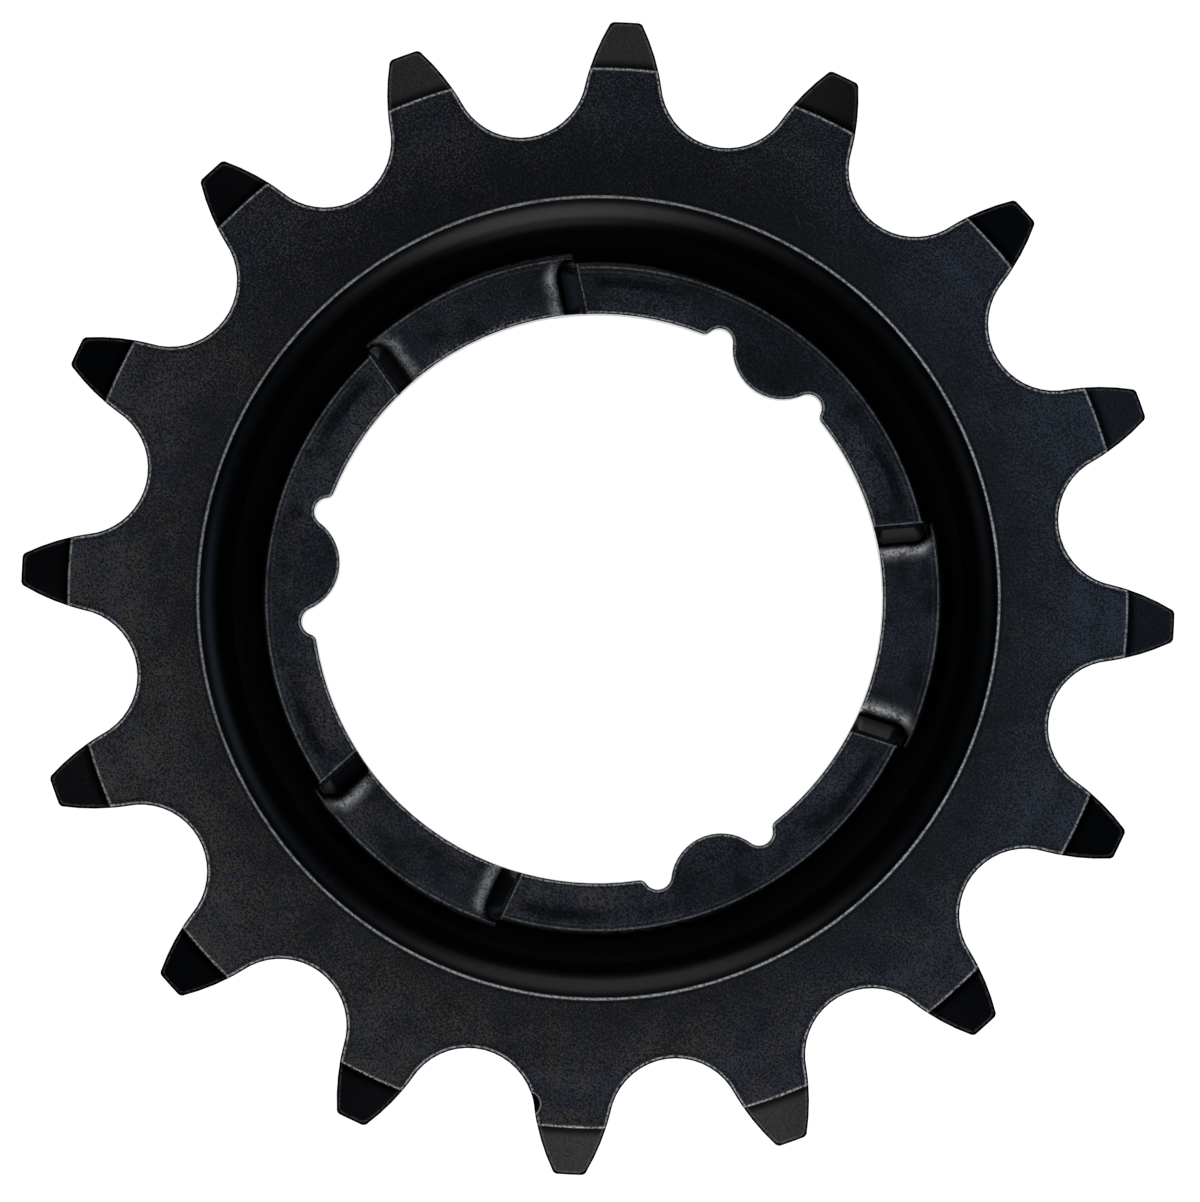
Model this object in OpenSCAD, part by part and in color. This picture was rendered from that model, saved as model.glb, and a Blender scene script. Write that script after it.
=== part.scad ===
// Three-lug bicycle rear sprocket, stamped from one steel plate.
// The axis is Z, the back of the flange rests on z = 0, the toothed ring is up
// and the first drive lug points to +Y.

/* [Chain and teeth] */
// Number of teeth
tooth_count = 16; // [15:1:22]
// Chain pitch
chain_pitch = 12.7; // [12.3:0.1:13.1]
// Radius of the roller seat between two teeth
seat_radius = 4.06; // [3.9:0.02:4.2]
// Angle over which a roller seat runs
seat_angle = 137; // [130:1:142]
// Radius of the curved tooth flanks
flank_radius = 13.8; // [12:0.1:18]
// Height of the tooth tips above the pitch circle
tip_height = 2.75; // [2.2:0.05:3]
// Corner radius of the tooth tips
tip_round = 0.4; // [0.2:0.05:0.6]
// Radial length of the turned bevel on the teeth
bevel_length = 2.95; // [2:0.05:3.4]
// Depth of the bevel at the tooth tip, on each face
bevel_depth = 0.65; // [0.3:0.05:0.85]

/* [Plate and dish] */
// Thickness of the plate
plate_thickness = 2.3; // [2:0.1:2.6]
// Height of the toothed ring above the flange
dish_depth = 2.66; // [2.4:0.02:3]
// Outer radius of the flat flange between the pads
flange_radius = 20.4; // [20:0.1:20.8]
// Slope of the dish wall
wall_angle = 44; // [41:1:48]
// Bend radius at the mouth of the dish, on the toothed face
mouth_bend = 3.8; // [3.2:0.1:4.5]
// Slope of the bend where the faced ring cuts it
mouth_slope = 5.5; // [4:0.5:10]
// Bend radius at the foot of the wall, on the toothed face
foot_bend = 0.45; // [0.3:0.05:0.7]

/* [Driver bore] */
// Radius of the bore
bore_radius = 17.5; // [17.2:0.1:17.8]
// Radius at the tips of the drive lugs
lug_tip_radius = 16; // [15.6:0.1:16.4]
// Nose radius of a drive lug
lug_nose_radius = 3.1; // [2.7:0.1:3.5]
// Radius of the relief notch on each side of a lug
notch_radius = 0.85; // [0.7:0.05:1]
// Depth of the relief notches below the bore
notch_depth = 0.78; // [0.6:0.02:0.9]
// Rounding between a notch and the bore
corner_round = 0.5; // [0.3:0.05:0.7]

/* [Pads] */
// Rise of the pads above the flange
pad_rise = 0.55; // [0.45:0.05:0.7]
// Half width of a pad at the bore
pad_half_width = 6.2; // [5:0.1:7]
// Angle between a pad end and the middle line of the pad
pad_end_angle = 11.4; // [8:0.2:16]
// Distance from a shear line to the top of the scooped pad end beside it
scoop_radius = 1.9; // [1.6:0.05:2.1]
// Distance from the bore to the straight part of a scooped end
scoop_start = 0.6; // [0.4:0.05:0.8]
// Length of the straight part of a scooped end
scoop_length = 1.75; // [1.4:0.05:2]
// Radius of the bend from a pad down into its scooped end
scoop_bend = 1.3; // [1.1:0.1:1.6]
// Slope at the foot of that bend
scoop_slope = 45; // [38:1:50]
// Slope of the floor of a scooped end
scoop_fall = 15; // [8:1:20]
// Width of the lip left standing on the outer side of a scooped end
scoop_lip = 0.08; // [0.05:0.01:0.15]
// Width of the shear line beside a pad end
shear_width = 0.24; // [0.16:0.01:0.3]
// Depth of the shear line below the flange
shear_depth = 0.4; // [0.3:0.01:0.5]

/* [Marks] */
// Radius of the nick in one tooth flank
nick_radius = 0.72; // [0.5:0.02:0.85]

/* [Hidden] */
$fn = 128;
lug_count = 3;
// overlap by which two arcs that run into each other cross, instead of only touching
lap = 0.005;
// overlap by which joined bodies and cutters run into or past a surface
over = 0.5;
// tooth space that has the nick, direction of the nick from the middle of its flank arc, and gap from the flank
nick_space = 9;
nick_way = 20.8;
nick_gap = 0.34;

// teeth, seen with one tooth space on +Y
pitch_radius = chain_pitch / (2 * sin(180 / tooth_count));
tip_radius = pitch_radius + tip_height;
seat_centre = [0, pitch_radius];
seat_end = [sin(seat_angle / 2), -cos(seat_angle / 2)];
flank_centre = seat_centre + (seat_radius + flank_radius - lap) * seat_end;
space_top = tip_radius + 2 * over;
space_half = flank_centre.x - sqrt(pow(flank_radius, 2) - pow(space_top - flank_centre.y, 2)) + over;
flank_reach = norm(flank_centre);
flank_way = flank_centre / flank_reach;
round_along = (pow(tip_radius - tip_round, 2) - pow(flank_radius - tip_round, 2) + pow(flank_reach, 2))
    / (2 * flank_reach);
round_across = sqrt(pow(tip_radius - tip_round, 2) - pow(round_along, 2));
round_centre = round_along * flank_way + round_across * [-flank_way.y, flank_way.x];
round_out = round_centre / norm(round_centre);
round_side = (round_centre - flank_centre) / norm(round_centre - flank_centre);
bevel_radius = tip_radius - bevel_length;

// section through the plate, radius first and height second
ring_top = plate_thickness + dish_depth;
up_wall = [cos(wall_angle), sin(wall_angle)];
into_wall = [sin(wall_angle), -cos(wall_angle)];
foot_centre = [flange_radius, plate_thickness + foot_bend];
wall_front = foot_centre + foot_bend * into_wall;
wall_back = wall_front + plate_thickness * into_wall;
mouth_height = ring_top - mouth_bend * cos(mouth_slope);
mouth_centre = on_wall(wall_front, mouth_height + mouth_bend * cos(wall_angle)) + mouth_bend * into_wall;
mouth_inside = mouth_bend - plate_thickness;
ring_back = mouth_height + mouth_inside;
core_radius = lug_tip_radius / 2;

// driver bore, seen with one lug on +Y
nose_centre = [0, lug_tip_radius + lug_nose_radius];
notch_reach = bore_radius + notch_depth - notch_radius;
notch_angle = side_angle(nose_centre.y, notch_reach, lug_nose_radius + notch_radius - lap);
notch_centre = notch_reach * [sin(notch_angle), cos(notch_angle)];
corner_reach = bore_radius + corner_round;
corner_angle = notch_angle + side_angle(corner_reach, notch_reach, corner_round + notch_radius);
corner_way = [sin(corner_angle), cos(corner_angle)];
corner_centre = corner_reach * corner_way;

// pads, seen with one pad on +Y
pad_front = plate_thickness + pad_rise;
pad_radius = flange_radius + pad_rise / tan(wall_angle);
pad_foot_centre = [pad_radius, pad_front + foot_bend];
pad_start = sqrt(pow(bore_radius, 2) - pow(pad_half_width, 2));
pad_along = pad_start * cos(pad_end_angle) + pad_half_width * sin(pad_end_angle);

// Point of a wall surface through start at a given height
function on_wall(start, height) = start + (height - start.y) / sin(wall_angle) * up_wall;

// Angle at the middle of the part between two points at radii a and b that lie c apart
function side_angle(a, b, c) = acos((a * a + b * b - c * c) / (2 * a * b));

// Distance along a pad end from the bore to a radius
function along_pad_end(radius) = sqrt(pow(pad_along, 2) + pow(radius, 2) - pow(bore_radius, 2)) - pad_along;

// Half width of a pad at a distance from the axis along its middle line
function pad_half(distance) = pad_half_width + (distance - pad_start) * tan(pad_end_angle);

// Space between two teeth: roller seat, curved flanks and rounded tip corners
module tooth_space() {
    translate(seat_centre) circle(r = seat_radius);
    difference() {
        polygon([
            seat_centre,
            seat_centre + (seat_radius + 2 * over) * seat_end,
            [space_half, space_top],
            [-space_half, space_top],
            [-(seat_radius + 2 * over) * seat_end.x, seat_centre.y + (seat_radius + 2 * over) * seat_end.y]
        ]);
        for (side = [-1, 1]) {
            translate([side * flank_centre.x, flank_centre.y]) circle(r = flank_radius);
        }
    }
    for (side = [0, 1]) {
        mirror([side, 0]) difference() {
            polygon([
                round_centre,
                round_centre + 2 * over * round_out,
                round_centre + 2 * over * (round_out + round_side),
                round_centre + 2 * over * round_side
            ]);
            translate(round_centre) circle(r = tip_round + lap);
        }
    }
}

// Opening for the driver: bore with lugs left standing and notches beside them
module driver_opening() {
    difference() {
        union() {
            circle(r = bore_radius);
            for (k = [0 : lug_count - 1]) {
                rotate(k * 360 / lug_count) lug_surround();
            }
        }
        for (k = [0 : lug_count - 1]) {
            rotate(k * 360 / lug_count) translate(nose_centre) circle(r = lug_nose_radius);
        }
    }
}

// Opened area on both sides of the lug on +Y
module lug_surround() {
    near = 0.95;
    left = [-notch_centre.x, notch_centre.y];
    polygon([nose_centre, notch_centre, near * notch_centre, near * left, left]);
    for (side = [0, 1]) {
        mirror([side, 0]) {
            translate(notch_centre) circle(r = notch_radius);
            difference() {
                polygon([corner_centre, notch_centre, near * bore_radius * corner_way]);
                translate(corner_centre) circle(r = corner_round + lap);
            }
        }
    }
}

// Plan outline of the sprocket
module outline() {
    difference() {
        circle(r = tip_radius);
        for (k = [0 : tooth_count - 1]) {
            rotate(k * 360 / tooth_count) tooth_space();
        }
        driver_opening();
    }
}

// Fillet at the foot of the wall, in section
module foot_fillet(centre, floor_height) {
    corner = on_wall(wall_front, floor_height);
    difference() {
        polygon([
            [centre.x, floor_height - over / 2],
            centre,
            centre + (foot_bend + over / 2) * into_wall,
            corner + [over / 2, -over / 2]
        ]);
        translate(centre) circle(r = foot_bend + lap);
    }
}

// Section of the bent plate
module plate_section() {
    bevel_end = tip_radius + over;
    bevel_drop = bevel_depth * (bevel_end - bevel_radius) / bevel_length;
    difference() {
        union() {
            polygon([
                [core_radius, plate_thickness],
                on_wall(wall_front, plate_thickness),
                on_wall(wall_front, ring_top),
                [bevel_radius, ring_top],
                [bevel_end, ring_top - bevel_drop],
                [bevel_end, ring_back + bevel_drop],
                [bevel_radius, ring_back],
                on_wall(wall_back, ring_back),
                on_wall(wall_back, 0),
                [core_radius, 0]
            ]);
            foot_fillet(foot_centre, plate_thickness);
            difference() {
                polygon([
                    mouth_centre,
                    [mouth_centre.x, ring_back + over / 2],
                    on_wall(wall_back, ring_back) + [-over / 2, over / 2],
                    mouth_centre - (mouth_inside + over / 2) * into_wall
                ]);
                translate(mouth_centre) circle(r = mouth_inside + lap);
            }
        }
        difference() {
            polygon([
                mouth_centre,
                mouth_centre - (mouth_bend + over) * into_wall,
                on_wall(wall_front, ring_top) + [-over, over],
                [mouth_centre.x, ring_top + over]
            ]);
            translate(mouth_centre) circle(r = mouth_bend + lap);
        }
        difference() {
            polygon([
                foot_centre,
                [foot_centre.x, -over],
                on_wall(wall_back, 0) + [over, -over],
                foot_centre + (foot_bend + plate_thickness + over) * into_wall
            ]);
            translate(foot_centre) circle(r = foot_bend + plate_thickness + lap);
        }
    }
}

// Section of the raised pads, sunk into the plate
module pad_section() {
    pad_end = on_wall(wall_front, pad_front).x + over;
    polygon([
        [core_radius, plate_thickness - over],
        [pad_end, plate_thickness - over],
        [pad_end, pad_front],
        [core_radius, pad_front]
    ]);
    foot_fillet(pad_foot_centre, pad_front);
}

// Plan of one pad, with its ends moved in by an inset
module pad_plan(inset = 0) {
    near = core_radius;
    far = mouth_centre.x;
    shift = inset / cos(pad_end_angle);
    polygon([
        [pad_half(near) - shift, near],
        [pad_half(far) - shift, far],
        [shift - pad_half(far), far],
        [shift - pad_half(near), near]
    ]);
}

// Places its children at the right end of the pad on +Y, with +Y along the end and -X into the pad
module at_pad_end() {
    translate([pad_half_width, pad_start, 0]) rotate(-pad_end_angle) children();
}

// Space above a scooped pad end, in section from the shear line into the pad
module scoop_section() {
    crest = [scoop_radius, pad_front - scoop_bend];
    foot = crest + scoop_bend * [-sin(scoop_slope), cos(scoop_slope)];
    rim = scoop_radius - sqrt(2 * scoop_bend * lap) / 2;
    top = pad_front + over;
    difference() {
        polygon([[0, foot.y - foot.x * tan(scoop_fall)], foot, [rim, foot.y], [rim, top], [0, top]]);
        translate(crest) circle(r = scoop_bend + lap);
    }
}

// Scooped end and shear line at the right end of the pad on +Y
module pad_end() {
    reach = scoop_length + 2 * scoop_radius;
    at_pad_end() {
        translate([0, scoop_start, 0]) intersection() {
            union() {
                for (along = [0, scoop_length]) {
                    translate([0, along, 0]) rotate_extrude() scoop_section();
                }
                translate([lap, 0, 0]) rotate([90, 0, 180])
                    linear_extrude(height = scoop_length) scoop_section();
            }
            translate([-reach, -reach, 0]) cube([reach + shear_width / 4, 2 * reach, ring_top]);
        }
        translate([-shear_width / 2, -over, plate_thickness - shear_depth])
            cube([shear_width, along_pad_end(flange_radius) + over, shear_depth + pad_rise + over]);
    }
}

// One pad on +Y
module pad() {
    intersection() {
        rotate_extrude() pad_section();
        linear_extrude(height = ring_top) pad_plan();
    }
}

// Recess behind one pad on +Y, and the pad's two ends
module pad_cuts() {
    translate([0, 0, -over]) linear_extrude(height = pad_rise + over) intersection() {
        pad_plan(scoop_radius);
        circle(r = flange_radius - over / 2);
    }
    for (side = [0, 1]) {
        mirror([side, 0, 0]) intersection() {
            pad_end();
            cylinder(r = pad_radius - scoop_lip, h = ring_top);
        }
    }
}

// Nick in the rim of one tooth flank
module nick() {
    out = flank_radius + nick_gap;
    rotate(nick_space * 360 / tooth_count)
        translate([out * cos(nick_way) - flank_centre.x, flank_centre.y + out * sin(nick_way), ring_top])
            sphere(r = nick_radius);
}

// Whole stamped part
module sprocket() {
    color("DimGray") difference() {
        intersection() {
            union() {
                rotate_extrude() plate_section();
                for (k = [0 : lug_count - 1]) {
                    rotate((k + 0.5) * 360 / lug_count) pad();
                }
            }
            translate([0, 0, -over]) linear_extrude(height = ring_top + 2 * over) outline();
        }
        for (k = [0 : lug_count - 1]) {
            rotate((k + 0.5) * 360 / lug_count) pad_cuts();
        }
        nick();
    }
}

sprocket();
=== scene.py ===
"""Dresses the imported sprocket: the blackened, worn finish of its plate and the studio it is shown in."""

import math

import bmesh
import bpy
from bpy.props import FloatProperty, FloatVectorProperty, PointerProperty
from mathutils import Matrix, Vector


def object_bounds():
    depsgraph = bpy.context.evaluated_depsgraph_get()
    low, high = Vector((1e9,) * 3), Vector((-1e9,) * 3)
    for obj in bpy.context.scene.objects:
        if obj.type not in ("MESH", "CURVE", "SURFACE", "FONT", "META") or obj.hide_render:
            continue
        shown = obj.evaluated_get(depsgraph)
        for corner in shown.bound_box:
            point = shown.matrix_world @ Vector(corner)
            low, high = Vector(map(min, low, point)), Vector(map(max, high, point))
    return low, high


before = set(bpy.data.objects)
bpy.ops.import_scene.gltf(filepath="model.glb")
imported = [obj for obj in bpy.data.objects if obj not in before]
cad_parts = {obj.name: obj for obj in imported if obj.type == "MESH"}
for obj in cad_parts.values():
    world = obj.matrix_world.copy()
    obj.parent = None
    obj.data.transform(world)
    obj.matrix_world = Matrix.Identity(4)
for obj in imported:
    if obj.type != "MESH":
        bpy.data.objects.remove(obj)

bl_info = {
    "name": "Bicycle sprocket",
    "version": (1, 0, 0),
    "blender": (4, 5, 0),
    "location": "3D View > Sidebar > Sprocket",
    "description": "Finishes a dished bicycle sprocket and sets up a studio for it",
    "category": "Object",
}

CAD_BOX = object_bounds()
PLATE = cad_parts["sprocket"]

# Two plain colours, and how many millimetres make a metre
WHITE = (1.0, 1.0, 1.0, 1.0)
# Black, laid for dirt and for painted shade
DIRT_AND_SHADE_BLACK = (0.0, 0.0, 0.0, 1.0)
MILLIMETRES = 1000.0

# Sizes of the plate, in millimetres
TOOTH_COUNT = 16
CHAIN_PITCH = 12.7
SEAT_RADIUS = 4.06
SEAT_HALF_ANGLE = math.radians(68.5)
FLANK_RADIUS = 13.8
TIP_HEIGHT = 2.75
TIP_CORNER = 0.375
BEVEL_LENGTH = 2.95
BEVEL_DEPTH = 0.65
RING_TOP = CAD_BOX[1].z * MILLIMETRES
RING_THICKNESS = 2.2825
CREASE_RADIUS = 24.53
FLANGE_TOP = 2.3
PAD_TOP = 2.85
BORE_RADIUS = 17.5
NOSE_CENTRE = 19.1
NOSE_RADIUS = 3.1
NOTCH_CENTRE = (3.40, 17.095)
NOTCH_RADIUS = 0.85
BORE_CORNER = 0.25
PAD_CORNER = (6.2, 16.365)
PAD_END_ANGLE = math.radians(11.4)
SCOOP_START = 0.6
SCOOP_END = 2.35
CHIPPED_SPOT = (-15.24, 8.8)
NICK = (15.01, -27.37)
NICK_RADIUS = 0.72

# Where the bare lines on the flange, on the pads and beside the shear lines run, how far off centre the
# crease lies on the left of the photograph and over what width, how far out the notches reach, and a
# distance at which no line shows, in millimetres
FLANGE_EDGE = 20.36
PAD_EDGE = 20.88
FLANGE_END = PAD_EDGE + 0.2
SHEAR_OFFSET = 0.17
CREASE_SHIFT = 0.08
CREASE_SPAN = 24.0
NOTCH_REACH = 1.1
OUT_OF_REACH = 10.0

PITCH_RADIUS = CHAIN_PITCH / (2 * math.sin(math.pi / TOOTH_COUNT))
TIP_RADIUS = PITCH_RADIUS + TIP_HEIGHT
BEVEL_RADIUS = TIP_RADIUS - BEVEL_LENGTH
RING_BACK = RING_TOP - RING_THICKNESS
BEVEL_FALL = BEVEL_DEPTH / BEVEL_LENGTH
FLANK_REACH = SEAT_RADIUS + FLANK_RADIUS
FLANK_CENTRE = (
    FLANK_REACH * math.sin(SEAT_HALF_ANGLE),
    -FLANK_REACH * math.cos(SEAT_HALF_ANGLE),
)

# The photograph's frame: how far it is turned from the plate, its width at the ring's face, and where its
# middle and the camera's foot lie, in metres. The sensor's width is in millimetres
FRAME_TURN = math.radians(36.6)
FRAME_WIDTH = 0.07332
ACROSS = Vector((math.cos(FRAME_TURN), math.sin(FRAME_TURN), 0))
UPWARD = Vector((-math.sin(FRAME_TURN), math.cos(FRAME_TURN), 0))
FRAME_CENTRE = ACROSS * 0.00013 - UPWARD * 0.00021
CAMERA_FOOT = UPWARD * -0.010
SENSOR_WIDTH = 36.0
CLIP_START = 0.01

# The studio. A lamp has a name, a share of the light distance, an azimuth, a zenith and a size as angles in
# degrees, a radiance and a colour. The floor's radius is in metres
LAMPS = (
    ("top_box", 1.0, 93, 34, (25, 32), 1.2, (1.0, 0.98, 0.99)),
    ("bottom_box", 1.0, 277, 38, (19, 40), 2.3, (1.0, 0.99, 0.99)),
    ("right_card", 1.0, 14, 27, (18, 14), 1.0, (0.62, 0.79, 1.0)),
    ("left_card", 1.0, 192, 27, (14, 14), 0.28, (1.0, 0.98, 0.98)),
    ("overhead_card", 1.5, 90, 1, (15, 15), 0.9, (0.85, 0.93, 1.0)),
)
LAMP_TARGET = Vector((0, 0, 0.003))
FLOOR_RADIUS = 8.0
FLOOR_SEGMENTS = 96
FLOOR_GLOW = 0.93
ROOM_STOPS = (
    (0.0, (0.95, 0.95, 0.95, 1.0)),
    (0.47, (0.95, 0.95, 0.95, 1.0)),
    (0.50, (0.05, 0.05, 0.05, 1.0)),
    (0.62, (0.03, 0.04, 0.05, 1.0)),
    (1.0, (0.03, 0.045, 0.07, 1.0)),
)


class Wire:
    """A number in a shader: a sum on it adds a Math node."""

    def __init__(self, shader, socket):
        self.shader = shader
        self.socket = socket

    def __add__(self, other):
        return self.shader.math("ADD", self, other)

    def __radd__(self, other):
        return self.shader.math("ADD", other, self)

    def __sub__(self, other):
        return self.shader.math("SUBTRACT", self, other)

    def __rsub__(self, other):
        return self.shader.math("SUBTRACT", other, self)

    def __mul__(self, other):
        return self.shader.math("MULTIPLY", self, other)

    def __abs__(self):
        return self.shader.math("ABSOLUTE", self)


class Shader:
    """Adds nodes to a material's or the world's tree."""

    def __init__(self, owner):
        owner.use_nodes = True
        self.tree = owner.node_tree
        self.tree.nodes.clear()

    def node(self, kind, settings, sockets, output=0):
        """Adds a node, sets it up, fills its sockets and gives back one output, or all of them for None."""
        node = self.tree.nodes.new(kind)
        for name, value in settings.items():
            if name == "stops":
                self.set_stops(node.color_ramp, value)
            else:
                setattr(node, name, value)
        for name, value in sockets.items():
            if isinstance(value, Wire):
                self.tree.links.new(value.socket, node.inputs[name])
            else:
                node.inputs[name].default_value = value
        if output is None:
            return [Wire(self, socket) for socket in node.outputs]
        return Wire(self, node.outputs[output])

    def set_stops(self, ramp, stops):
        """Gives a colour ramp its stops, as pairs of a place and a colour."""
        while len(ramp.elements) < len(stops):
            ramp.elements.new(1.0)
        for element, (place, colour) in zip(ramp.elements, stops):
            element.position = place
            element.color = colour

    def math(self, operation, first, second=0.0, third=0.0):
        return self.node("ShaderNodeMath", {"operation": operation}, {0: first, 1: second, 2: third})

    def length(self, across, along):
        """How long the vector with these two parts is."""
        return self.math("SQRT", self.math("MULTIPLY_ADD", across, across, along * along))

    def lower(self, first, second):
        return self.math("MINIMUM", first, second)

    def higher(self, first, second):
        return self.math("MAXIMUM", first, second)

    def rounded_lower(self, first, second, size):
        """The lower of two, with the corner between them rounded."""
        return self.math("SMOOTH_MIN", first, second, size)

    def fold(self, angle, half):
        """Folds an angle into the sector from 0 to half."""
        return self.math("PINGPONG", angle, half)

    def slide(self, value, start, end, low=0.0, high=1.0):
        """A smooth change from low to high while the value goes from start to end."""
        return self.node(
            "ShaderNodeMapRange",
            {"interpolation_type": "SMOOTHSTEP"},
            {"Value": value, "From Min": start, "From Max": end, "To Min": low, "To Max": high},
        )

    def band(self, value, start, end, edge):
        """One between start and end, fading to nothing over the edge on each side."""
        return self.slide(value, start - edge, start) * self.slide(value, end + edge, end)

    def noise(self, place, scale, detail=2.0, rough=0.5):
        return self.node(
            "ShaderNodeTexNoise",
            {},
            {"Vector": place, "Scale": scale, "Detail": detail, "Roughness": rough},
        )

    def mix(self, share, first, second):
        """A colour between two."""
        return self.node("ShaderNodeMix", {"data_type": "RGBA"}, {0: share, 6: first, 7: second}, 2)

    def show(self, surface, kind):
        """Sends a finished surface or background to an output node."""
        output = self.tree.nodes.new(kind)
        self.tree.links.new(surface.socket, output.inputs["Surface"])


class PlateFinish(bpy.types.PropertyGroup):
    """Colours and grain of the blackened plate."""

    black: FloatVectorProperty(
        name="Black",
        description="Colour of the smooth blackened bends",
        subtype="COLOR",
        size=4,
        min=0.0,
        max=1.0,
        default=(0.0012, 0.0013, 0.0015, 1.0),
    )
    dark_grain: FloatVectorProperty(
        name="Dark grain",
        description="Colour of the darker grain on the flat faces",
        subtype="COLOR",
        size=4,
        min=0.0,
        max=1.0,
        default=(0.003, 0.004, 0.006, 1.0),
    )
    pale_grain: FloatVectorProperty(
        name="Pale grain",
        description="Colour of the paler grain on the flat faces",
        subtype="COLOR",
        size=4,
        min=0.0,
        max=1.0,
        default=(0.060, 0.080, 0.116, 1.0),
    )
    warm_grain: FloatVectorProperty(
        name="Warm grain",
        description="Colour of the browner specks among the paler grain",
        subtype="COLOR",
        size=4,
        min=0.0,
        max=1.0,
        default=(0.130, 0.102, 0.086, 1.0),
    )
    worn: FloatVectorProperty(
        name="Worn steel",
        description="Colour of bare steel where the edges have rubbed",
        subtype="COLOR",
        size=4,
        min=0.0,
        max=1.0,
        default=(0.82, 0.81, 0.79, 1.0),
    )
    face_rough: FloatProperty(
        name="Face roughness",
        description="Roughness of the grainy flat faces",
        subtype="FACTOR",
        min=0.0,
        max=1.0,
        default=0.50,
    )
    bevel_rough: FloatProperty(
        name="Bevel roughness",
        description="Roughness of the smooth tooth bevels",
        subtype="FACTOR",
        min=0.0,
        max=1.0,
        default=0.20,
    )
    dish_rough: FloatProperty(
        name="Dish roughness",
        description="Roughness of the dish wall and the bends of the pads",
        subtype="FACTOR",
        min=0.0,
        max=1.0,
        default=0.23,
    )
    grain_size: FloatProperty(
        name="Grain size",
        description="Size of the grain on the flat faces",
        unit="LENGTH",
        default=0.00013,
    )
    grain_depth: FloatProperty(
        name="Grain depth",
        description="Depth of the grain on the flat faces",
        unit="LENGTH",
        default=0.000014,
    )
    # The black rounding outside the bare line is painted shade where the rounded edge turns from the light
    edge_gap: FloatProperty(
        name="Edge gap",
        description="Width of the black rounding outside the bare line along an edge",
        unit="LENGTH",
        default=0.000115,
    )
    edge_width: FloatProperty(
        name="Edge wear",
        description="Width of the bare line along an edge",
        unit="LENGTH",
        default=0.00004,
    )


class Studio(bpy.types.PropertyGroup):
    """Floor, light and camera."""

    floor: FloatVectorProperty(
        name="Floor",
        description="Colour of the floor",
        subtype="COLOR",
        size=4,
        min=0.0,
        max=1.0,
        default=(0.92, 0.92, 0.92, 1.0),
    )
    camera_distance: FloatProperty(
        name="Camera distance",
        description="Distance from the camera to the ring's face",
        unit="LENGTH",
        default=0.5146,
    )
    light_distance: FloatProperty(
        name="Light distance",
        description="Distance from the lamps to the plate",
        unit="LENGTH",
        default=0.6,
    )


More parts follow.
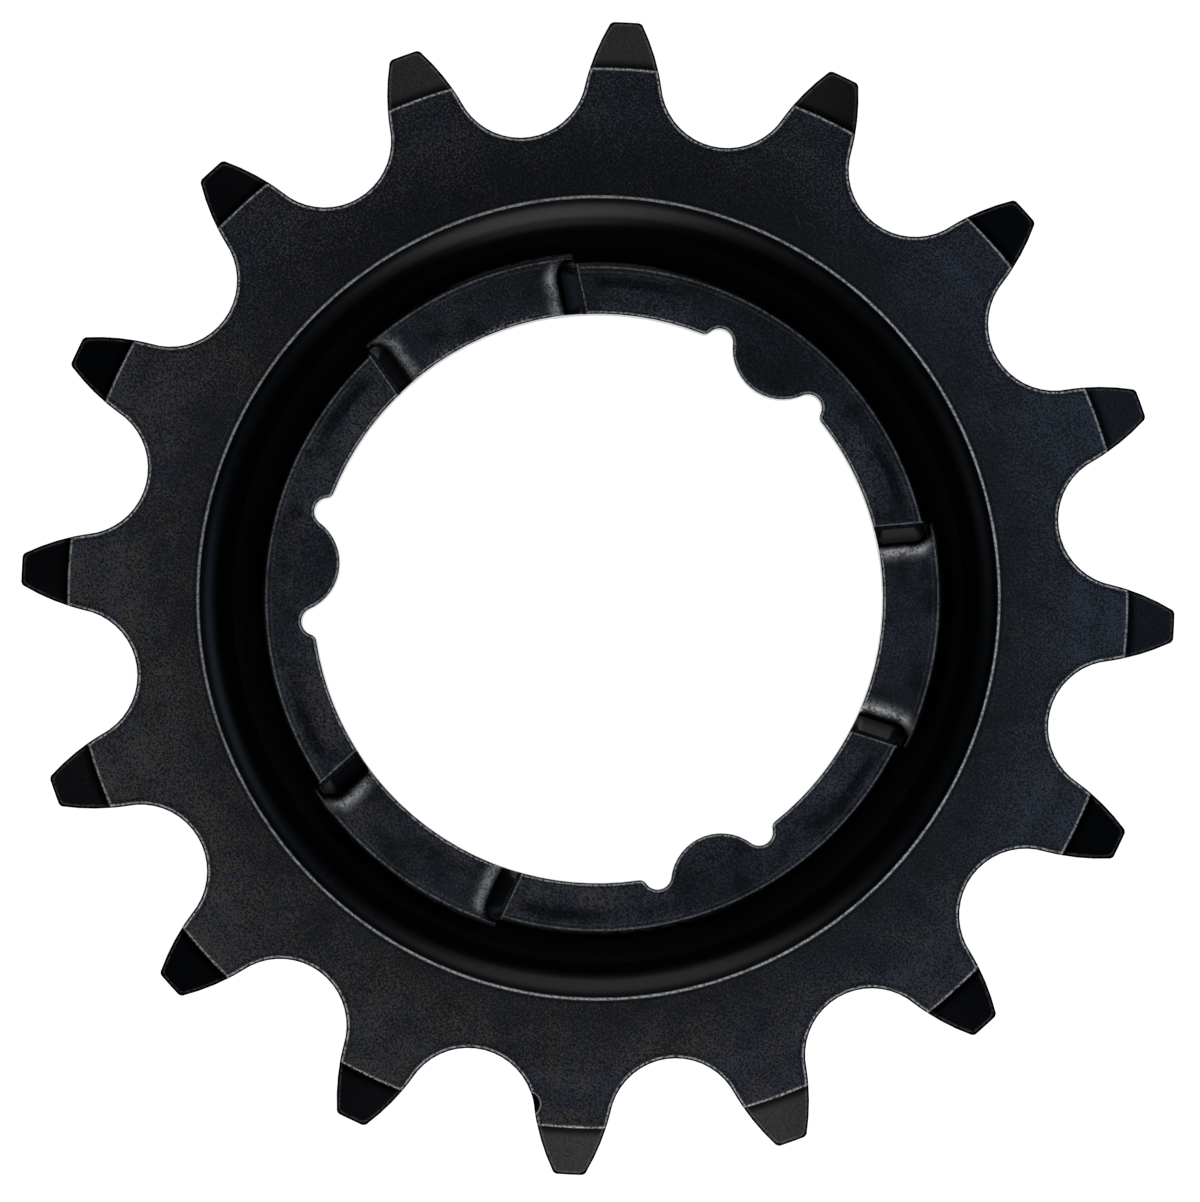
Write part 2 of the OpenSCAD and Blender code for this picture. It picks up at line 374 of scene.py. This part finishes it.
class PlatePlan:
    """Distances on the plate, in millimetres, from a place on it."""

    def __init__(self, shader, place):
        self.shader = shader
        self.x, self.y, self.z = shader.node("ShaderNodeSeparateXYZ", {}, {0: place}, None)
        self.radius = shader.length(self.x, self.y)
        self.turn = shader.math("ARCTAN2", self.x, self.y)
        self.rightward = self.x * ACROSS.x + self.y * ACROSS.y
        self.upward = self.x * UPWARD.x + self.y * UPWARD.y
        self.measure_teeth()
        self.measure_bore()
        self.measure_pads()

    def measure_teeth(self):
        """Folds the ring onto half a tooth space and measures to its rims, bevels and crease."""
        shader = self.shader
        in_space = shader.fold(self.turn, math.pi / TOOTH_COUNT)
        across = self.radius * shader.math("SINE", in_space)
        along = self.radius * shader.math("COSINE", in_space) - PITCH_RADIUS
        seat = abs(shader.length(across, along) - SEAT_RADIUS)
        flank = abs(shader.length(across - FLANK_CENTRE[0], along - FLANK_CENTRE[1]) - FLANK_RADIUS)
        past_seat = across * math.cos(SEAT_HALF_ANGLE) + along * math.sin(SEAT_HALF_ANGLE)
        beside_seat = shader.math("LESS_THAN", past_seat, 0.0)
        side = shader.lower(seat, flank + beside_seat * OUT_OF_REACH)
        outline = shader.rounded_lower(side, abs(TIP_RADIUS - self.radius), TIP_CORNER)
        self.past_bevel = self.radius - BEVEL_RADIUS
        self.on_bevel = shader.math("GREATER_THAN", self.past_bevel, 0.0)
        fall = shader.higher(self.past_bevel, 0.0) * BEVEL_FALL
        self.front_rim = shader.length(outline, self.z - (RING_TOP - fall))
        self.back_rim = shader.length(outline, self.z - (RING_BACK + fall))
        self.front_bevel = shader.length(self.past_bevel, self.z - RING_TOP)
        self.back_bevel = shader.length(self.past_bevel, self.z - RING_BACK)
        shift = shader.slide(self.rightward, 0.0, -CREASE_SPAN, 0.0, CREASE_SHIFT)
        self.past_crease = self.radius - CREASE_RADIUS + shift
        self.crease = shader.length(self.past_crease, self.z - RING_TOP)
        self.in_dish = shader.math("LESS_THAN", self.radius, CREASE_RADIUS)
        nick_reach = shader.length(self.x - NICK[0], self.y - NICK[1])
        self.nick = shader.length(nick_reach, self.z - RING_TOP) - NICK_RADIUS

    def measure_bore(self):
        """Folds the flange onto half a lug and measures to the bore's edge."""
        shader = self.shader
        self.in_lug = shader.fold(self.turn, math.pi / 3)
        lug_x = self.radius * shader.math("SINE", self.in_lug)
        lug_y = self.radius * shader.math("COSINE", self.in_lug)
        nose = NOSE_RADIUS - shader.length(lug_x, lug_y - NOSE_CENTRE)
        notch = shader.length(lug_x - NOTCH_CENTRE[0], lug_y - NOTCH_CENTRE[1]) - NOTCH_RADIUS
        body = shader.higher(self.radius - BORE_RADIUS, nose)
        self.bore_edge = abs(shader.rounded_lower(body, notch, BORE_CORNER))

    def measure_pads(self):
        """Folds the flange onto half a pad and measures to the pad's end and to the flange's edges."""
        shader = self.shader
        in_pad = math.pi / 3 - self.in_lug
        pad_x = self.radius * shader.math("SINE", in_pad) - PAD_CORNER[0]
        pad_y = self.radius * shader.math("COSINE", in_pad) - PAD_CORNER[1]
        self.into_pad = pad_y * math.sin(PAD_END_ANGLE) - pad_x * math.cos(PAD_END_ANGLE)
        along_end = pad_y * math.cos(PAD_END_ANGLE) + pad_x * math.sin(PAD_END_ANGLE)
        before = shader.higher(SCOOP_START - along_end, 0.0)
        self.beyond = shader.higher(along_end - SCOOP_END, 0.0)
        self.scoop = shader.length(self.into_pad, before + self.beyond)
        self.on_pad = shader.math("GREATER_THAN", self.into_pad, 0.0)
        self.on_flange = shader.math("LESS_THAN", self.radius, FLANGE_END)
        top = FLANGE_TOP + self.on_pad * (PAD_TOP - FLANGE_TOP)
        edge = FLANGE_EDGE + self.on_pad * (PAD_EDGE - FLANGE_EDGE)
        self.bore_rim = shader.length(self.bore_edge, self.z - top)
        self.bore_back = shader.length(self.bore_edge, self.z)
        self.flange_rim = shader.length(self.radius - edge, self.z - top)
        self.inside_rim = edge - self.radius
        shear = shader.length(self.into_pad + SHEAR_OFFSET, self.z - FLANGE_TOP)
        self.shear = shear + (1 - self.on_flange) * OUT_OF_REACH


class BlackenedSteel:
    """The plate's material: grainy black faces, smooth black bends and bare steel along the edges.

    Two shares between 0 and 1 build up step by step: how bare the steel is, and how deep dirt and painted
    shade lie.
    """

    def __init__(self, finish):
        self.finish = finish
        self.material = bpy.data.materials.new("blackened_steel")
        self.shader = Shader(self.material)
        self.bare = 0.0
        self.dirt_and_shade = 0.0

    def build(self):
        """Puts the marks on in order and gives back the finished material."""
        self.read_place()
        self.add_noises()
        self.rub_rims()
        self.rub_bends()
        self.rub_crease()
        self.wear_and_highlight_pad_ends()
        self.shade_bends()
        self.mark_nick()
        self.shade_dish()
        self.mark_faces()
        self.shade_flange()
        self.add_surface()
        return self.material

    def add_bare_and_highlight(self, share, strength=1.0):
        """Bares the steel, for wear and for painted highlights, where the share is more than what is bare
        already.
        """
        self.bare = self.shader.higher(self.bare, share * strength)

    def add_dirt_and_shade(self, share, strength=1.0):
        """Lays dirt or painted shade where the share is more than what lies there already."""
        self.dirt_and_shade = self.shader.higher(self.dirt_and_shade, share * strength)

    def read_place(self):
        """Works out where on the plate a point lies and which way the surface faces there."""
        shader = self.shader
        coordinates = shader.tree.nodes.new("ShaderNodeTexCoord")
        self.place = shader.node(
            "ShaderNodeVectorMath",
            {"operation": "SCALE"},
            {0: Wire(shader, coordinates.outputs["Object"]), "Scale": MILLIMETRES},
        )
        normal = Wire(shader, coordinates.outputs["Normal"])
        facing = shader.node("ShaderNodeSeparateXYZ", {}, {0: normal}, None)
        plan = PlatePlan(shader, self.place)
        self.plan = plan
        self.level = abs(facing[2])
        self.flat = shader.slide(self.level, 0.985, 0.996)
        self.off_walls = shader.slide(self.level, 0.5, 0.8)
        self.on_end = plan.on_pad * plan.on_flange * shader.slide(plan.z, 1.4, 1.8) * self.off_walls
        # The upper part of the plate in the picture, where painted shade darkens the faces
        self.topward = shader.slide(plan.upward - plan.rightward * 0.14, 12.0, 27.0)

    def add_noises(self):
        """Adds the noises that the marks share, from the broadest to the grain."""
        shader = self.shader
        self.sway = (shader.noise(self.place, 0.12, 1.0) - 0.5) * 1.4
        self.blotch = shader.noise(self.place, 0.22, 4.0, 0.6)
        self.drift = shader.noise(self.place, 0.5, 3.0, 0.55)
        self.uneven = shader.noise(self.place, 0.9, 3.0, 0.55)
        self.waver = (self.uneven - 0.5) * 0.10
        self.fine = shader.noise(self.place, 6.5, 2.0)
        scale = 1 / (self.finish.grain_size * MILLIMETRES)
        specks = shader.node(
            "ShaderNodeTexNoise",
            {},
            {"Vector": self.place, "Scale": scale, "Detail": 2.0, "Roughness": 0.75},
            None,
        )
        channels = shader.node("ShaderNodeSeparateColor", {}, {0: specks[1]}, None)
        self.grain = specks[0]
        self.grain_tint = channels[1] - 0.5

    def rub_rims(self):
        """Bare lines along the sharp rims, each inside a narrow painted shade where the rounded edge turns
        from the light.
        """
        shader = self.shader
        plan = self.plan
        gap = self.finish.edge_gap * MILLIMETRES
        width = self.finish.edge_width * MILLIMETRES
        bevel_inset = plan.on_bevel * 0.025
        bore_outset = 0.025
        tooth_share = 1 - plan.on_bevel * 0.86
        for distance, share in (
            (plan.front_rim - bevel_inset, tooth_share),
            (plan.back_rim - bevel_inset, tooth_share),
            (plan.bore_rim + bore_outset, 0.8),
            (plan.bore_back + bore_outset, 0.7),
        ):
            reach = distance + self.waver * 0.7
            outer_fade = shader.slide(reach, gap * 0.55, gap)
            inner_fade = shader.slide(reach, gap + width * 3.0, gap + width)
            # Painted shade where the rounded edge turns from the light
            rounding = shader.slide(distance, gap * 1.1, gap * 0.6)
            self.add_bare_and_highlight(outer_fade * inner_fade * share * self.off_walls)
            self.add_dirt_and_shade(rounding * self.off_walls)

    def unbroken(self, least):
        """What the fine noise leaves of a bare line, from the least share up to all of it."""
        return self.shader.slide(self.fine, 0.36, 0.58, least, 1.0)

    def rub_bends(self):
        """Fainter bare lines along the bends, broken up, and chips along the bore, most at one spot."""
        shader = self.shader
        plan = self.plan
        for distance, reach, share in (
            (plan.front_bevel, 0.10, 0.85),
            (plan.back_bevel, 0.10, 0.6),
            (plan.flange_rim, 0.07, 0.36),
            (plan.shear, 0.07, 0.38),
        ):
            line = shader.slide(distance + self.waver * 0.6, reach, reach * 0.3)
            self.add_bare_and_highlight(line, strength=share)
        inner_line = shader.band(plan.inside_rim + self.waver, 0.27, 0.30, 0.05)
        self.add_bare_and_highlight(inner_line * plan.on_flange * self.off_walls, strength=0.08)
        self.bare = self.bare * self.unbroken(0.18)
        chips = shader.slide(plan.bore_edge, 0.5, 0.1) * shader.slide(self.fine, 0.50, 0.60)
        from_spot = shader.length(plan.x - CHIPPED_SPOT[0], plan.y - CHIPPED_SPOT[1])
        near_spot = shader.slide(from_spot, 5.0, 2.0, 0.03, 0.5)
        self.add_bare_and_highlight(chips * self.off_walls * near_spot)

    def rub_crease(self):
        """A bare line around the mouth of the dish, a little weaker on the left of the picture."""
        shader = self.shader
        line = shader.slide(self.plan.crease + self.waver * 0.6, 0.106, 0.034)
        side = shader.slide(self.plan.rightward, -CREASE_SPAN, 0.0, 0.72, 1.0)
        self.add_bare_and_highlight(line * self.unbroken(0.4) * side)

    def wear_and_highlight_pad_ends(self):
        """Bare crests where the scooped ends of the pads bend up to the pads' tops: partly wear, partly a
        painted highlight.
        """
        shader = self.shader
        up_scoop = self.plan.scoop + self.sway
        fade = shader.slide(up_scoop, 2.7, 1.45)
        # The crest is partly wear and partly a painted highlight
        crest_wear_and_highlight = shader.slide(up_scoop, 1.05, 1.6) * fade * fade * fade * self.on_end
        crest_wear_and_highlight = crest_wear_and_highlight * shader.slide(self.plan.beyond, 1.3, 0.4, 0.15, 1.0)
        broken = shader.slide(self.fine + self.uneven, 0.78, 1.20, 0.18, 0.88)
        self.add_bare_and_highlight(crest_wear_and_highlight * broken)

    def shade_bends(self):
        """Painted shade beside the bends and in the valleys of the pad ends."""
        shader = self.shader
        plan = self.plan
        # Painted shade in bands beside the bevels, the crease and the bore, and in the valleys of the pad
        # ends
        past_bevel = shader.slide(plan.past_bevel, 0.02, 0.10) * shader.slide(plan.past_bevel, 0.8, 0.15)
        inside_crease_shade = shader.slide(plan.crease, 0.08, 0.14) * shader.slide(plan.crease, 0.6, 0.2)
        outside_crease_shade = shader.band(plan.past_crease, 0.15, 0.26, 0.06)
        beside_bore_shade = shader.band(plan.bore_edge, 0.17, 0.24, 0.07)
        valley_shade = shader.slide(plan.scoop, 0.3, 1.0) * shader.slide(plan.scoop, 1.5, 1.1)
        self.add_dirt_and_shade(past_bevel * self.off_walls, strength=0.85)
        self.add_dirt_and_shade(inside_crease_shade * plan.in_dish * self.off_walls, strength=0.65)
        self.add_dirt_and_shade(outside_crease_shade * self.off_walls, strength=0.42)
        self.add_dirt_and_shade(beside_bore_shade * plan.on_flange * self.off_walls, strength=0.5)
        self.add_dirt_and_shade(valley_shade * self.on_end, strength=0.7)

    def mark_nick(self):
        """A bare rim around the nick, with painted shadow inside it, and no dirt or painted shade where the
        steel is bare.
        """
        shader = self.shader
        rim = shader.band(self.plan.nick, 0.03, 0.07, 0.03)
        outside = shader.slide(self.plan.nick, 0.01, 0.04)
        self.add_bare_and_highlight(rim * self.off_walls, strength=0.8)
        self.bare = self.bare * outside
        self.dirt_and_shade = self.dirt_and_shade * (1 - self.bare)
        # Painted shadow inside the nick
        self.add_dirt_and_shade(1 - outside)

    def shade_dish(self):
        """Painted shade on the dish wall and at its foot, and thinly on the upper part of the ring."""
        shader = self.shader
        plan = self.plan
        off_pads = 1 - plan.on_pad * plan.on_flange
        # Painted shade on the steep wall, at the wall's foot and on the upper part of the ring
        wall = shader.band(self.level, 0.60, 0.895, 0.04) * plan.in_dish * off_pads
        foot = shader.slide(plan.inside_rim, -0.06, -0.14) * shader.slide(plan.radius, 22.2, 21.8)
        top_shade = shader.slide(plan.radius, 26.0, 30.0, 0.32, 0.12) * self.flat * self.topward
        self.add_dirt_and_shade(wall, strength=0.6)
        self.add_dirt_and_shade(foot, strength=0.75)
        self.add_dirt_and_shade(top_shade)

    def mark_faces(self):
        """Fine scratches on the flat faces, dust on the bevels and painted shade along the rims."""
        shader = self.shader
        self.add_bare_and_highlight(self.scratches() * self.flat, strength=0.10)
        dusty = self.plan.on_bevel * (1 - self.flat) * shader.slide(self.grain, 0.42, 0.66, 0.0, 0.4)
        # Painted shade along the rims
        rim_shade = shader.slide(self.plan.front_rim, 0.58, 0.26) * self.flat * (1 - self.bare)
        self.add_dirt_and_shade(dusty)
        self.add_dirt_and_shade(rim_shade, strength=0.42)

    def scratches(self):
        """Short fine scratches, at most one in each cell of a loose pattern."""
        shader = self.shader
        cells = shader.node(
            "ShaderNodeTexVoronoi",
            {"voronoi_dimensions": "2D"},
            {"Vector": self.place, "Scale": 0.3},
            None,
        )
        chance = shader.node("ShaderNodeSeparateColor", {}, {0: cells[1]}, None)
        middle = shader.node("ShaderNodeVectorMath", {"operation": "SUBTRACT"}, {0: self.place, 1: cells[2]})
        x, y = shader.node("ShaderNodeSeparateXYZ", {}, {0: middle}, None)[:2]
        turn = chance[0] * math.pi
        sine = shader.math("SINE", turn)
        cosine = shader.math("COSINE", turn)
        across = abs(x * sine - y * cosine)
        along = abs(x * cosine + y * sine)
        reach = chance[1] * 0.4 + 0.05
        line = shader.slide(across, 0.04, 0.01) * shader.slide(along - reach, 0.15, -0.15)
        return line * shader.slide(chance[2], 0.78, 0.95)

    def shade_flange(self):
        """Painted light and shade of the shallow trays beside the pad ends, painted shade on the lugs, and
        smudges.
        """
        shader = self.shader
        plan = self.plan
        out_of_bore = (plan.radius - BORE_RADIUS) * (1 / (FLANGE_EDGE - BORE_RADIUS))
        off_middle = out_of_bore - 0.4
        from_slot = (self.blotch - 0.5) * 1.5 - plan.into_pad - off_middle * off_middle * 3.0
        tray = shader.slide(from_slot, 0.5, 1.3) * shader.slide(from_slot, 9.0, 3.0) * plan.on_flange
        # A dark streak round the outer side of each tray, partly a tool streak and partly painted shade
        streak_and_shade = shader.band(out_of_bore + (self.blotch - 0.5) * 0.3, 0.64, 0.74, 0.12) * tray
        lug = shader.slide(plan.in_lug, 0.34, 0.1) * plan.on_flange
        lug_shade = lug * shader.slide(plan.upward, 0.0, 15.0, 0.25, 0.6)
        smudge = shader.slide(self.drift, 0.46, 0.68) * (0.1 + plan.on_flange * 0.35)
        # Painted highlight inside the trays
        self.tray_highlight = shader.slide(out_of_bore, 0.66, 0.30) * tray
        self.add_dirt_and_shade(streak_and_shade * self.flat, strength=0.62)
        self.add_dirt_and_shade(lug_shade * self.flat, strength=0.55)
        self.add_dirt_and_shade(smudge * self.flat * (1 - self.tray_highlight))

    def pale_colour(self):
        """The colour of the paler grain, which is browner towards the lower left of the picture."""
        shader = self.shader
        plan = self.plan
        tint = self.grain_tint + (self.uneven - 0.5) * 0.6
        tint = tint * shader.slide(plan.rightward, 4.0, 24.0, 2.6, 1.0)
        lower_left = -0.07 - plan.rightward * 0.008 - plan.upward * 0.004
        # Warmer in the painted tray highlight, cooler on the flange
        on_flange = self.tray_highlight * 0.2 - plan.on_flange * 0.22
        warmth = tint + self.blotch + lower_left + on_flange
        warm_share = shader.slide(warmth, 0.2, 0.9)
        return shader.mix(warm_share, tuple(self.finish.pale_grain), tuple(self.finish.warm_grain))

    def pale_share(self):
        """How much of the paler grain shows on a flat face, with painted light and shade by place on the
        plate.
        """
        shader = self.shader
        plan = self.plan
        speck = shader.slide(self.grain, 0.38, 0.78)
        speck = speck + self.topward * (shader.slide(self.grain, 0.46, 0.72) - speck)
        on_ring = shader.slide(plan.radius, 21.0, 23.0)
        outward = 0.9 + on_ring * (shader.slide(plan.radius, 25.0, 30.0, 0.62, 1.7) - 0.9)
        # Painted highlight of a rolled bore edge
        bore_highlight = shader.band(plan.bore_edge, 0.35, 0.6, 0.2) * plan.on_flange
        # Painted highlights in the trays and beside the bore
        flange_highlight = 1 + self.tray_highlight * 1.2 + bore_highlight * 0.4
        patches = 1 + (shader.slide(self.blotch, 0.3, 0.7) - 0.5) * (0.5 + plan.on_flange * 0.5)
        patches = patches * shader.slide(self.drift, 0.66, 0.34, 0.76, 1.24)
        # Painted light: paler towards the left, the right and the bottom of the picture
        left_painted_light = shader.slide(plan.upward * 0.25 - plan.rightward, 0.0, 24.0, 1.08, 1.52)
        right_painted_light = shader.slide(plan.upward * 0.45 + plan.rightward * 0.9, 15.0, 28.0, 1.0, 1.2)
        bottom_painted_light = shader.slide(plan.upward, 0.0, -26.0, 1.0, 1.2)
        painted_light = left_painted_light * right_painted_light * bottom_painted_light
        tooth_foot = shader.band(plan.radius, 29.4, 29.9, 0.5)
        by_bevel = shader.slide(plan.radius, 31.0, 31.8)
        rubbed = 1 + tooth_foot * 0.5 + by_bevel * 0.4
        # Painted shade: darker at the top of the picture
        return speck * outward * (1 - self.topward * 0.3) * flange_highlight * patches * painted_light * rubbed

    def colour(self):
        """Grain on the flat faces and black on the bends, under the bare steel and the dirt and painted
        shade.
        """
        shader = self.shader
        finish = self.finish
        face = shader.mix(self.pale_share(), tuple(finish.dark_grain), self.pale_colour())
        few_specks = shader.slide(self.grain, 0.4, 0.8) * 0.02
        smooth = shader.mix(few_specks, tuple(finish.black), tuple(finish.pale_grain))
        colour = shader.mix(self.flat, smooth, face)
        colour = shader.mix(self.bare, colour, tuple(finish.worn))
        return shader.mix(self.dirt_and_shade, colour, DIRT_AND_SHADE_BLACK)

    def roughness(self):
        """Smooth bends, rough faces, half-rough bare steel, a smooth bore wall and a rough nick."""
        shader = self.shader
        finish = self.finish
        plan = self.plan
        bends = finish.bevel_rough + plan.in_dish * (finish.dish_rough - finish.bevel_rough)
        faces = finish.face_rough + (self.blotch - 0.5) * 0.12
        by_bore = shader.math("LESS_THAN", plan.radius, BORE_RADIUS + NOTCH_REACH)
        bore_wall = shader.slide(self.level, 0.5, 0.3) * by_bore
        rough = bends + self.flat * (faces - bends)
        rough = rough + (1 - self.flat) * (self.grain - 0.5) * 0.16
        rough = rough + self.bare * (0.5 - rough)
        rough = rough + bore_wall * (0.15 - rough)
        return shader.higher(rough, shader.slide(plan.nick, 0.04, 0.01))

    def add_surface(self):
        """Joins colour, roughness and grain. Dirt and painted shade count as metal, since black metal
        mirrors nothing.
        """
        shader = self.shader
        height = self.grain * (0.25 + self.flat * 0.75)
        bump = shader.node(
            "ShaderNodeBump",
            {},
            {"Strength": 1.0, "Distance": self.finish.grain_depth, "Height": height},
        )
        surface = shader.node(
            "ShaderNodeBsdfPrincipled",
            {},
            {
                "Base Color": self.colour(),
                "Metallic": shader.higher(self.bare, self.dirt_and_shade),
                "Roughness": self.roughness(),
                "IOR": 1.33,
                "Normal": bump,
            },
        )
        shader.show(surface, "ShaderNodeOutputMaterial")


def floor_material(studio):
    """A pale floor that shows white behind the plate and still takes its shadow."""
    material = bpy.data.materials.new("pale_floor")
    shader = Shader(material)
    path = shader.tree.nodes.new("ShaderNodeLightPath")
    seen = Wire(shader, path.outputs["Is Camera Ray"])
    for name in ("Is Glossy Ray", "Is Transmission Ray"):
        seen = shader.higher(seen, Wire(shader, path.outputs[name]))
    matte = shader.node("ShaderNodeBsdfDiffuse", {}, {"Color": tuple(studio.floor)})
    glow = shader.node("ShaderNodeEmission", {}, {"Color": WHITE, "Strength": FLOOR_GLOW})
    white = shader.node("ShaderNodeAddShader", {}, {0: matte, 1: glow})
    top = shader.node("ShaderNodeMixShader", {}, {0: seen, 1: matte, 2: white})
    clear = shader.node("ShaderNodeBsdfTransparent", {}, {})
    geometry = shader.tree.nodes.new("ShaderNodeNewGeometry")
    below = Wire(shader, geometry.outputs["Backfacing"])
    surface = shader.node("ShaderNodeMixShader", {}, {0: below, 1: top, 2: clear})
    shader.show(surface, "ShaderNodeOutputMaterial")
    return material


def aim(thing, place, target, upward):
    """Puts a lamp or camera at a place, looking at a target."""
    back = (place - target).normalized()
    right = upward.cross(back).normalized()
    top = back.cross(right)
    turn = Matrix((right, top, back)).transposed()
    thing.matrix_world = Matrix.Translation(place) @ turn.to_4x4()


def direction(azimuth, zenith):
    """A direction from the plate, with azimuth measured in the photograph from its right-hand side."""
    flat = math.sin(math.radians(zenith))
    around = math.radians(azimuth)
    level = ACROSS * math.cos(around) + UPWARD * math.sin(around)
    return level * flat + Vector((0, 0, math.cos(math.radians(zenith))))


def add_lamp(name, distance, azimuth, zenith, size, level, colour):
    """A soft box in a direction, with its size as angles and its brightness as radiance."""
    lamp = bpy.data.lights.new(name, "AREA")
    lamp.shape = "RECTANGLE"
    lamp.size = 2 * distance * math.tan(math.radians(size[0] / 2))
    lamp.size_y = 2 * distance * math.tan(math.radians(size[1] / 2))
    lamp.energy = level * math.pi * lamp.size * lamp.size_y
    lamp.color = colour
    holder = bpy.data.objects.new(name, lamp)
    bpy.context.scene.collection.objects.link(holder)
    aim(holder, direction(azimuth, zenith) * distance, LAMP_TARGET, Vector((0, 0, 1)))


class SPROCKET_OT_finish_plate(bpy.types.Operator):
    """Give the stamped plate its blackened and worn finish"""

    bl_idname = "sprocket.finish_plate"
    bl_label = "Finish the plate"

    def execute(self, context):
        material = BlackenedSteel(context.scene.plate_finish).build()
        PLATE.data.materials.clear()
        PLATE.data.materials.append(material)
        return {"FINISHED"}


class SPROCKET_OT_build_studio(bpy.types.Operator):
    """Add the floor, the soft boxes, the dim room and the camera"""

    bl_idname = "sprocket.build_studio"
    bl_label = "Build the studio"

    def execute(self, context):
        studio = context.scene.studio
        self.add_floor(studio)
        self.add_lamps(studio)
        self.add_room(context.scene)
        self.add_camera(context.scene, studio)
        context.scene.view_settings.view_transform = "Standard"
        return {"FINISHED"}

    def add_floor(self, studio):
        shape = bmesh.new()
        bmesh.ops.create_circle(shape, cap_ends=True, radius=FLOOR_RADIUS, segments=FLOOR_SEGMENTS)
        mesh = bpy.data.meshes.new("floor")
        shape.to_mesh(mesh)
        shape.free()
        floor = bpy.data.objects.new("floor", mesh)
        bpy.context.scene.collection.objects.link(floor)
        mesh.materials.append(floor_material(studio))

    def add_lamps(self, studio):
        for name, reach, azimuth, zenith, size, level, colour in LAMPS:
            add_lamp(name, reach * studio.light_distance, azimuth, zenith, size, level, colour)

    def add_room(self, scene):
        world = bpy.data.worlds.new("dim_room")
        scene.world = world
        shader = Shader(world)
        coordinates = shader.tree.nodes.new("ShaderNodeTexCoord")
        around = Wire(shader, coordinates.outputs["Generated"])
        way = shader.node("ShaderNodeSeparateXYZ", {}, {0: around}, None)
        room = shader.node("ShaderNodeValToRGB", {"stops": ROOM_STOPS}, {"Fac": way[2] * 0.5 + 0.5})
        glow = shader.node("ShaderNodeBackground", {}, {"Color": room, "Strength": 1.0})
        shader.show(glow, "ShaderNodeOutputWorld")

    def add_camera(self, scene, studio):
        camera = bpy.data.cameras.new("camera")
        camera.sensor_fit = "HORIZONTAL"
        camera.sensor_width = SENSOR_WIDTH
        camera.lens = camera.sensor_width * studio.camera_distance / FRAME_WIDTH
        camera.clip_start = CLIP_START
        holder = bpy.data.objects.new("camera", camera)
        scene.collection.objects.link(holder)
        ring_height = Vector((0, 0, CAD_BOX[1].z))
        place = CAMERA_FOOT + ring_height + Vector((0, 0, studio.camera_distance))
        aim(holder, place, FRAME_CENTRE + ring_height, UPWARD)
        scene.camera = holder


class SPROCKET_PT_sidebar(bpy.types.Panel):
    """Lists what can be built"""

    bl_idname = "SPROCKET_PT_sidebar"
    bl_label = "Sprocket"
    bl_space_type = "VIEW_3D"
    bl_region_type = "UI"
    bl_category = "Sprocket"

    def draw(self, context):
        for group in (context.scene.plate_finish, context.scene.studio):
            for name in group.__annotations__:
                self.layout.prop(group, name)
        for operator in OPERATORS:
            self.layout.operator(operator.bl_idname)


OPERATORS = (SPROCKET_OT_finish_plate, SPROCKET_OT_build_studio)
CLASSES = (PlateFinish, Studio, *OPERATORS, SPROCKET_PT_sidebar)


def register():
    for kind in CLASSES:
        bpy.utils.register_class(kind)
    bpy.types.Scene.plate_finish = PointerProperty(type=PlateFinish)
    bpy.types.Scene.studio = PointerProperty(type=Studio)


def unregister():
    del bpy.types.Scene.studio
    del bpy.types.Scene.plate_finish
    for kind in reversed(CLASSES):
        bpy.utils.unregister_class(kind)


def main():
    register()
    bpy.ops.sprocket.finish_plate()
    bpy.ops.sprocket.build_studio()


if __name__ == "__main__":
    main()
